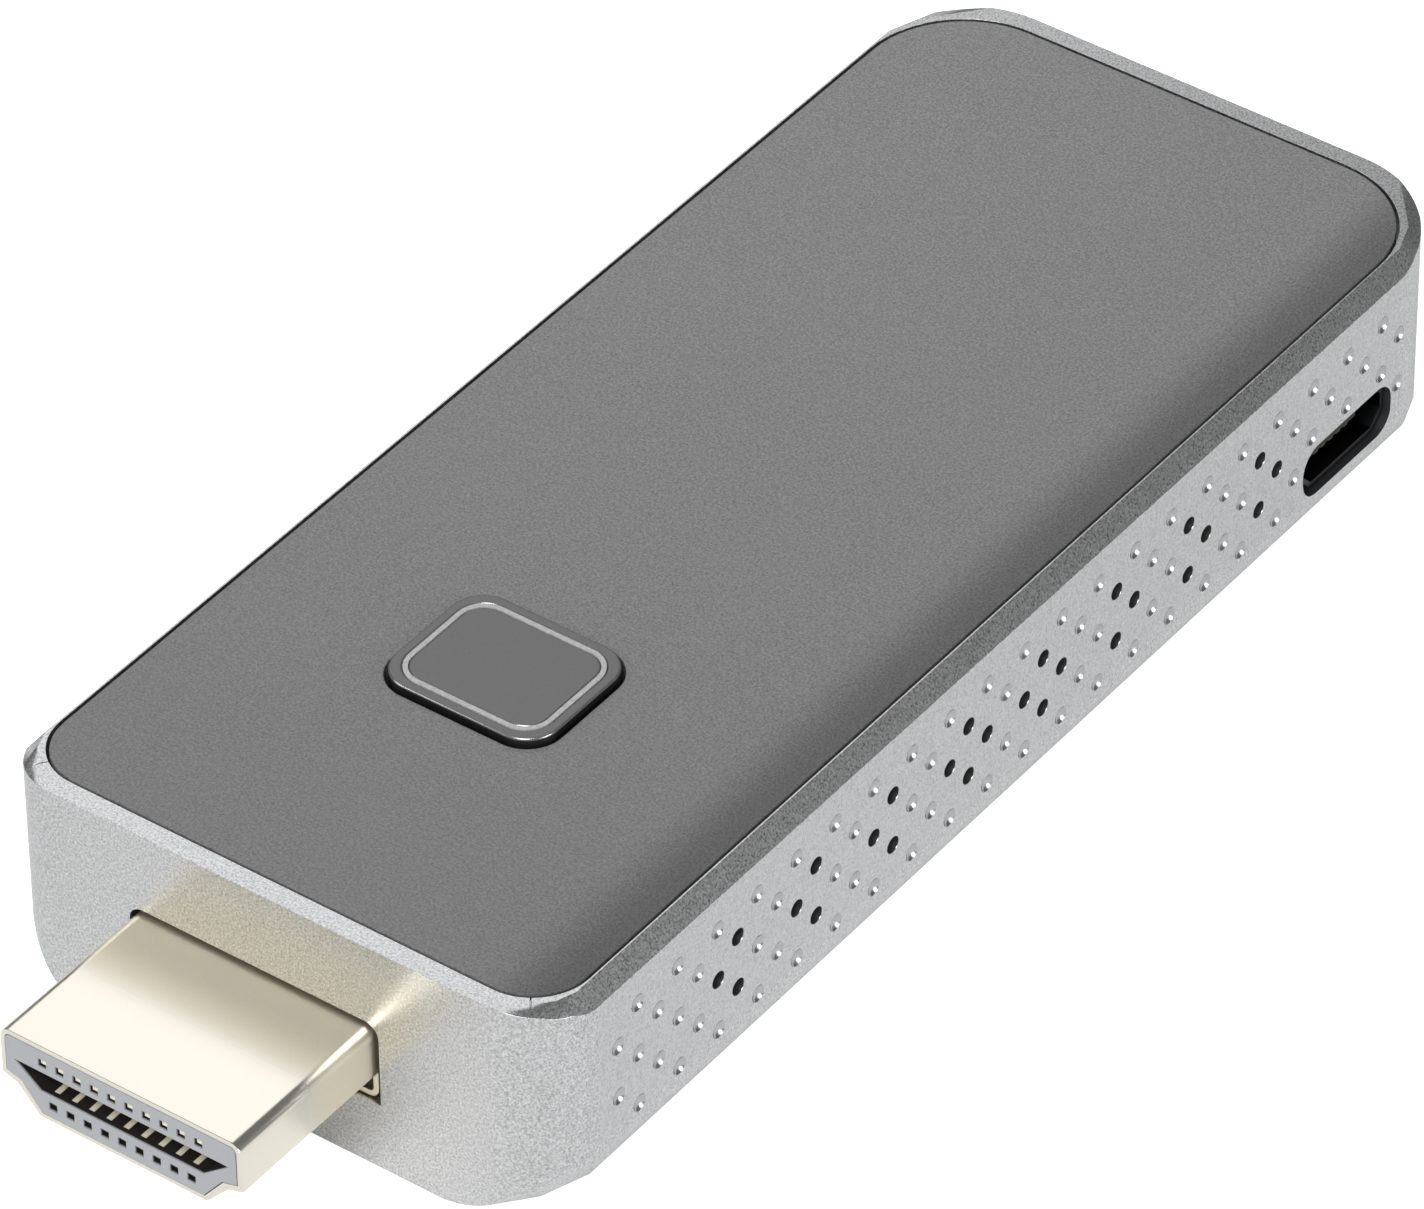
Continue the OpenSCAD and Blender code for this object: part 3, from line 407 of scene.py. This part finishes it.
def pale_room():
    """A world that the camera sees as white and that lights the object faintly"""
    world = bpy.data.worlds.new("pale_room")
    world.use_nodes = True
    tree = world.node_tree
    tree.nodes.clear()
    path = add_node(tree, "ShaderNodeLightPath")
    strength = add_node(tree, "ShaderNodeMapRange", {
        "Value": path.outputs["Is Camera Ray"], "To Min": 0.15, "To Max": 1.0})
    sky = add_node(tree, "ShaderNodeBackground", {
        "Color": linear("#FFFFFF"), "Strength": strength.outputs[0]})
    add_node(tree, "ShaderNodeOutputWorld", {"Surface": sky.outputs[0]})
    return world


def dress(piece, material):
    """Puts one material on every slot of a piece"""
    if not piece.material_slots:
        piece.data.materials.append(material)
    for slot in piece.material_slots:
        slot.material = material


def dress_nodes(material, *names):
    """Puts one material on frame nodes that stay as they are"""
    for name in names:
        dress(frame["nodes"][name], material)


def only(piece):
    """Leaves one object selected and active"""
    bpy.ops.object.select_all(action="DESELECT")
    piece.select_set(True)
    bpy.context.view_layer.objects.active = piece


def edged_copy(node_name, name, passes):
    """A merged copy of a frame node. Each pass rounds over the sharp edges that its own test picks"""
    only(frame["nodes"][node_name])
    bpy.ops.object.duplicate(linked=False)
    piece = bpy.context.view_layer.objects.active
    piece.name = name
    piece.data.name = name
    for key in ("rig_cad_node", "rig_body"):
        if key in piece:
            del piece[key]
    piece.parent = None
    bpy.ops.mesh.customdata_custom_splitnormals_clear()
    bpy.ops.object.mode_set(mode="EDIT")
    bpy.ops.mesh.select_mode(type="EDGE")
    bpy.ops.mesh.select_all(action="SELECT")
    bpy.ops.mesh.remove_doubles(threshold=MERGE_GAP)
    bpy.ops.mesh.dissolve_limited(angle_limit=math.radians(FLAT_DEG))
    for width, segments, wanted in passes:
        bpy.ops.mesh.select_all(action="DESELECT")
        shape = bmesh.from_edit_mesh(piece.data)
        for edge in shape.edges:
            sharp = len(edge.link_faces) == 2 and edge.calc_face_angle(0) > math.radians(SHARP_DEG)
            if sharp and wanted(edge):
                edge.select = True
        bmesh.update_edit_mesh(piece.data)
        if any(edge.select for edge in shape.edges):
            bpy.ops.mesh.bevel(offset=width, offset_type="OFFSET", segments=segments, affect="EDGES",
                               clamp_overlap=True)
    bpy.ops.object.mode_set(mode="OBJECT")
    bpy.ops.object.shade_smooth_by_angle(angle=math.radians(SMOOTH_DEG))
    # Flat faces keep flat shading, so the roundings alone turn the light
    bpy.ops.object.modifier_add(type="WEIGHTED_NORMAL")
    piece.modifiers[-1].keep_sharp = True
    piece.modifiers[-1].weight = LARGE_FACE_WEIGHT
    bpy.ops.object.modifier_apply(modifier=piece.modifiers[-1].name)
    return piece


def stand_for(piece, node_name, body):
    """Lets a piece ride on a body in place of a frame node, which it hides"""
    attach(piece, body)
    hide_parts(node_name)


def casing_slot(face):
    """The material slot of a face of the casing, from how deep it lies and how it points"""
    across, along, up = face.center
    depth = BODY_HIGH.x - abs(across)
    outward = abs(face.normal.x)
    by_inlet = (across > 0 and INLET_LOW.y - RECESS_MARGIN < along < INLET_HIGH.y + RECESS_MARGIN
                and INLET_LOW.z - RECESS_MARGIN < up < INLET_HIGH.z + RECESS_MARGIN)
    if by_inlet and RECESS_LIP < depth < RECESS_DEPTH and outward < STEEP:
        return RECESS
    by_vents = VENTS_LOW < up < BODY_HIGH.z - VENTS_BELOW_TOP
    if by_vents and VENT_LIP < depth < SIDE_WALL and outward < EDGE_ON and face.area < VENT_FACE:
        return VENTS
    by_dimples = (DIMPLES_LOW < up < BODY_HIGH.z - DIMPLES_BELOW_TOP
                  and BODY_LOW.y + DIMPLES_FROM_FRONT < along < BODY_HIGH.y - DIMPLES_FROM_REAR)
    in_dimple = FLUSH < depth < DIMPLE_DEPTH and STEEP < outward < SQUARE_ON
    if by_dimples and in_dimple and face.area < DIMPLE_FACE:
        return DIMPLES
    if depth < FLUSH and outward > SQUARE_ON:
        return SIDES
    return 0


class DONGLE_OT_casing(bpy.types.Operator):
    """Silver casing with a rounded rim, its own finish in the dimples, and painted shade in the vents and
    recess
    """

    bl_idname = "dongle.casing"
    bl_label = "Casing"

    def execute(self, context):
        sizes, colours = context.scene.dongle_sizes, context.scene.dongle_colours

        def on_rim(edge):
            # The rim's edges and the slope's foot, but not the dimples and vents in the sides
            return min(p.co.z for p in edge.verts) > BODY_HIGH.z - RIM_BAND

        def on_vent(edge):
            # Where a vent's bore meets the flat side
            flush = all(abs(p.co.x) > BODY_HIGH.x - VENT_EDGE_DEPTH for p in edge.verts)
            level = all(VENTS_LOW < p.co.z < BODY_HIGH.z - VENT_EDGE_BELOW_TOP for p in edge.verts)
            return flush and level and any(abs(f.normal.x) < EDGE_ON for f in edge.link_faces)

        piece = edged_copy("tray", "casing_shell", [(sizes.casing_edge, 3, on_rim),
                                                    (VENT_ROUND, 2, on_vent)])
        # Bead-blasted, clear-anodised aluminium: satin, with a fine sparkle in the grain
        dress(piece, grained_metal("blasted_anodised_aluminium", colours.casing, sizes.grain,
                                   spread=0.36, metallic=1.0, rough=0.3, bump=0.1))
        # The inlet's recess walls are drawn near black as painted shade, so they don't shine round the
        # receptacle
        piece.data.materials.append(moulded("painted_shade_recess", "#2A2B2D", rough=0.6, grain=0.12 * MM))
        # Dimples are pressed after blasting, so they are smoother than the side and mirror the room
        piece.data.materials.append(moulded("burnished_dimples", "#C2C3C5", rough=0.25, grain=0.2 * MM,
                                            spread=0.03, bump=0.05, metallic=1.0))
        # The vents' bores are dull inside, and drawn near black as painted shade, since they get hardly any
        # light
        piece.data.materials.append(moulded("painted_shade_vent_bores", "#2B2B2C", rough=0.6, grain=0.1 * MM))
        # The long sides are blasted finer than the ends and the rim
        piece.data.materials.append(grained_metal("fine_blasted_side", colours.casing, sizes.grain,
                                                  spread=0.2, metallic=1.0, rough=0.3, bump=0.05))
        for face in piece.data.polygons:
            face.material_index = casing_slot(face)
        stand_for(piece, "tray", "casing")
        return {"FINISHED"}


class DONGLE_OT_cover(bpy.types.Operator):
    """Dark cover plate with a softened rim"""

    bl_idname = "dongle.cover"
    bl_label = "Cover"

    def execute(self, context):
        sizes, colours = context.scene.dongle_sizes, context.scene.dongle_colours

        def on_top(edge):
            return min(p.co.z for p in edge.verts) > COVER_HIGH.z - ON_FACE

        piece = edged_copy("top_cover", "cover_plate", [(sizes.cover_edge, 2, on_top)])
        # Blasted aluminium with a thin grey paint: even and nearly matte, with a fine dark speckle; its
        # colour also carries a painted sheen towards the far end and painted shade beside the right edge
        dress(piece, grained_metal("grey_blasted_paint", colours.cover, sizes.grain,
                                   spread=0.34, metallic=0.35, rough=0.46, bump=0.15, painted_light=True))
        stand_for(piece, "top_cover", "casing")
        return {"FINISHED"}


class DONGLE_OT_button(bpy.types.Operator):
    """Push button with a rounded face and its pale ring"""

    bl_idname = "dongle.button"
    bl_label = "Button"

    def execute(self, context):
        sizes, colours = context.scene.dongle_sizes, context.scene.dongle_colours
        middle = (CAP_LOW + CAP_HIGH) / 2

        def on_outer_edge(edge):
            # The face's outer edge only, so the ring's groove stays crisp
            ends = [p.co for p in edge.verts]
            if min(p.z for p in ends) < CAP_HIGH.z - ON_FACE:
                return False
            past_ring = min(max(abs(p.x - middle.x) - RING_HALF_X, abs(p.y - middle.y) - RING_HALF_Y)
                            for p in ends)
            return past_ring > RING_MARGIN or any(
                len(f.verts) > 3 and abs(f.normal.z) < CAP_UPRIGHT and f.calc_area() > CAP_SIDE_FACE
                for f in edge.link_faces)

        piece = edged_copy("button_cap", "button_face", [(sizes.cap_edge, 3, on_outer_edge)])
        # Painted plastic, a shade darker and smoother than the cover round it
        dress(piece, grained_metal("grey_painted_cap", colours.button, sizes.grain,
                                   spread=0.08, metallic=0.2, rough=0.42, bump=0.15))
        # The cap's sides are drawn near black as painted shade, in the gap between the cap and the cover
        piece.data.materials.append(moulded("painted_shade_cap_side", "#121213", rough=0.45, grain=0.1 * MM))
        # The paint has thinned on the rounded edge, which shines
        piece.data.materials.append(moulded("polished_cap_edge", "#A8A8A8", rough=0.24, grain=0.1 * MM,
                                            spread=0.05, bump=0.1, metallic=0.9))
        for face in piece.data.polygons:
            if abs(face.normal.z) < CAP_SIDE_TILT:
                face.material_index = CAP_SIDE
            elif CAP_SIDE_TILT < face.normal.z < CAP_EDGE_TILT:
                face.material_index = CAP_EDGE
        stand_for(piece, "button_cap", "button")
        # Pad-printed pale ring: slightly uneven where the ink is thin
        dress_nodes(moulded("pale_printed_ring", colours.ring, rough=0.5, grain=0.025 * MM, spread=0.35,
                            bump=0.2), "button_ring")
        return {"FINISHED"}


class DONGLE_OT_plug(bpy.types.Operator):
    """Gold shell, insulator and contacts of the plug"""

    bl_idname = "dongle.plug"
    bl_label = "Plug"

    def execute(self, context):
        sizes, colours = context.scene.dongle_sizes, context.scene.dongle_colours
        contact_code = "#FBF0D4"
        lower_dark = PLUG_LOW.z + 1.4 * MM

        def on_front(edge):
            return max(p.co.y for p in edge.verts) < PLUG_LOW.y + ON_FACE

        shell = edged_copy("plug_shell", "plug_sleeve", [(sizes.plug_edge, 2, on_front)])
        dress(shell, gold_plate("pale_gold_plate", colours.gold))
        stand_for(shell, "plug_shell", "casing")
        # Glass-filled moulded plastic: even blue-grey on its face, matte, with a fine moulding texture, and
        # painted shade inside the slot and windows
        dress_nodes(insulator_moulding("blue_grey_moulding_with_slot_shade", colours.insulator), "plug_insulator")
        # Hard gold over stamped bronze: bright and a little yellower than the shell
        dress_nodes(contact_gold("upper_hard_gold", contact_code, PLUG_LOW.z), "upper_contacts")
        dress_nodes(contact_gold("lower_hard_gold", contact_code, lower_dark), "lower_contacts")
        return {"FINISHED"}


class DONGLE_OT_inlet(bpy.types.Operator):
    """Power inlet in the side"""

    bl_idname = "dongle.inlet"
    bl_label = "Power Inlet"

    def execute(self, context):
        # Steel sheet drawn dark as painted shade in the recess, with a dull metal glint along its lip
        dress_nodes(moulded("painted_shade_inlet_shell", "#3C3D40", rough=0.36, grain=0.2 * MM, spread=0.1,
                            bump=0.1, metallic=1.0), "port_shell")
        # Moulded plastic: near black and satin, so it hardly parts from the recess
        dress_nodes(moulded("black_inlet_moulding", "#2C2D2E", rough=0.5, grain=0.12 * MM), "port_tongue")
        # Flash gold on the inlet's springs: thin and dull, so that it hardly shows in the recess
        dress_nodes(moulded("dull_gold_springs", "#6A5C3C", rough=0.5, grain=0.1 * MM), "port_contacts")
        return {"FINISHED"}


class DONGLE_OT_inside(bpy.types.Operator):
    """Board, chips and hardware inside the casing"""

    bl_idname = "dongle.inside"
    bl_label = "Inside"

    def execute(self, context):
        # Lacquered glass-fibre laminate: the weave shows as a faint mottling through the green
        dress_nodes(moulded("green_lacquered_laminate", "#1D5C3A", rough=0.3, grain=0.4 * MM, spread=0.14,
                            bump=0.12), "main_board")
        # The same laminate in blue
        dress_nodes(moulded("blue_lacquered_laminate", "#184C6B", rough=0.3, grain=0.4 * MM, spread=0.14,
                            bump=0.12), "radio_board")
        # Transfer-moulded epoxy: near black with a dry satin face
        dress_nodes(moulded("moulded_epoxy", "#26282B", rough=0.58, grain=0.1 * MM, spread=0.08,
                            bump=0.25), "video_chip", "memory_chip_1", "memory_chip_2", "flash_chip",
                    "power_chip")
        # Tinned sheet: bright, with a faint unevenness in its shine
        dress_nodes(moulded("tinned_sheet", "#C6C8C9", rough=0.3, grain=0.3 * MM, spread=0.05, bump=0.1,
                            metallic=1.0), "radio_shield", "crystal", "switch_frame")
        # Extruded aluminium left plain: a darker, flatter grey than the tinned sheet
        dress_nodes(moulded("extruded_aluminium", "#B4B7BA", rough=0.4, grain=0.15 * MM, spread=0.05,
                            bump=0.2, metallic=1.0), "heatsink")
        # Aluminium cans drawn from sheet: pale and fairly smooth
        dress_nodes(moulded("drawn_aluminium_can", "#BEC0C3", rough=0.34, grain=0.25 * MM, spread=0.04,
                            bump=0.1, metallic=1.0), "tank_capacitor_1", "tank_capacitor_2")
        # Pressed ferrite: dark grey, dry and grainy
        dress_nodes(moulded("pressed_ferrite", "#3D3F42", rough=0.68, grain=0.08 * MM, spread=0.12,
                            bump=0.4), "coil_1", "coil_2")
        # Silicone pad: soft blue-grey without shine
        dress_nodes(moulded("silicone_pad", "#8FA6C4", rough=0.75, grain=0.2 * MM, spread=0.06, bump=0.3),
                    "thermal_pad")
        # Fired ceramic: tan, between matte and satin
        dress_nodes(moulded("fired_ceramic", "#B98D5C", rough=0.5, grain=0.08 * MM, spread=0.08,
                            bump=0.2), "small_capacitors")
        # Cast epoxy lens: near white and glossy
        dress_nodes(moulded("clear_epoxy_lens", "#F2F2E6", rough=0.2, grain=0.1 * MM, spread=0.03,
                            bump=0.05), "status_led")
        # Stamped brass sheet: bright yellow metal
        dress_nodes(moulded("stamped_brass", "#D8B869", rough=0.3, grain=0.25 * MM, spread=0.06,
                            bump=0.12, metallic=1.0), "antenna_1", "antenna_2")
        # Zinc-plated steel: a cool grey metal, a little duller than tin
        dress_nodes(moulded("zinc_plated_steel", "#B7B9BB", rough=0.36, grain=0.2 * MM, spread=0.06,
                            bump=0.15, metallic=1.0), "board_screws")
        # Amber plastic film: smooth and glossy
        dress_nodes(moulded("amber_film", "#D6B24C", rough=0.28, grain=0.6 * MM, spread=0.05, bump=0.08),
                    "insulating_sheet")
        # Moulded switch plastic: black and satin
        dress_nodes(moulded("black_switch_moulding", "#2B2B2B", rough=0.5, grain=0.1 * MM, spread=0.06,
                            bump=0.2), "switch_base", "switch_plunger")
        # The dome is a merged, smooth-shaded copy of its frame node, with a mesh of its own
        dome = edged_copy("switch_dome", "spring_dome", [])
        # Thin spring steel: bright, with a faint straw tint
        dress(dome, moulded("spring_steel", "#D0C8A8", rough=0.28, grain=0.2 * MM, spread=0.05, bump=0.08,
                            metallic=1.0))
        stand_for(dome, "switch_dome", "casing")
        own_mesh(dome)
        return {"FINISHED"}


class DONGLE_OT_stage(bpy.types.Operator):
    """Camera, floor, world and soft lamps"""

    bl_idname = "dongle.stage"
    bl_label = "Stage"

    def execute(self, context):
        scene = context.scene
        scene.view_settings.view_transform = "Standard"
        bpy.ops.object.camera_add(location=CAMERA_SPOT)
        camera = context.object
        camera.data.sensor_width = CAMERA_SENSOR_MM
        camera.data.lens = CAMERA_LENS_MM
        camera.data.clip_start, camera.data.clip_end = CAMERA_CLIP
        turn = Matrix((CAMERA_RIGHT, -CAMERA_DOWN, -CAMERA_AHEAD)).transposed()
        camera.rotation_mode = "QUATERNION"
        camera.rotation_quaternion = turn.to_quaternion().normalized()
        scene.camera = camera

        bpy.ops.mesh.primitive_plane_add(size=FLOOR_SIZE, location=(0, 0, -FLOOR_DROP))
        floor = context.object
        floor.name = "floor"
        dress(floor, pale_floor())
        scene.world = pale_room()

        for name, spot, size, power in LAMPS:
            bpy.ops.object.light_add(type="AREA", location=spot)
            lamp = context.object
            lamp.name = name
            lamp.data.size = size
            lamp.data.energy = power
            lamp.rotation_euler = (-Vector(spot)).to_track_quat("-Z", "Y").to_euler()
        return {"FINISHED"}


OPERATORS = (DONGLE_OT_stage, DONGLE_OT_casing, DONGLE_OT_cover, DONGLE_OT_button, DONGLE_OT_plug,
             DONGLE_OT_inlet, DONGLE_OT_inside)


class DONGLE_PT_pieces(bpy.types.Panel):
    """Sizes, colours and pieces of the dongle"""

    bl_idname = "DONGLE_PT_pieces"
    bl_label = "Dongle"
    bl_space_type = "VIEW_3D"
    bl_region_type = "UI"
    bl_category = "Dongle"

    def draw(self, context):
        for group in (context.scene.dongle_sizes, context.scene.dongle_colours):
            box = self.layout.box()
            for name in group.__annotations__:
                box.prop(group, name)
        for operator in OPERATORS:
            self.layout.operator(operator.bl_idname)


CLASSES = (DongleSizes, DongleColours, *OPERATORS, DONGLE_PT_pieces)


def register():
    for item in CLASSES:
        bpy.utils.register_class(item)
    bpy.types.Scene.dongle_sizes = bpy.props.PointerProperty(type=DongleSizes)
    bpy.types.Scene.dongle_colours = bpy.props.PointerProperty(type=DongleColours)


def unregister():
    del bpy.types.Scene.dongle_colours
    del bpy.types.Scene.dongle_sizes
    for item in reversed(CLASSES):
        bpy.utils.unregister_class(item)


def main():
    register()
    bpy.ops.dongle.stage()
    bpy.ops.dongle.casing()
    bpy.ops.dongle.cover()
    bpy.ops.dongle.button()
    bpy.ops.dongle.plug()
    bpy.ops.dongle.inlet()
    bpy.ops.dongle.inside()


if __name__ == "__main__":
    main()
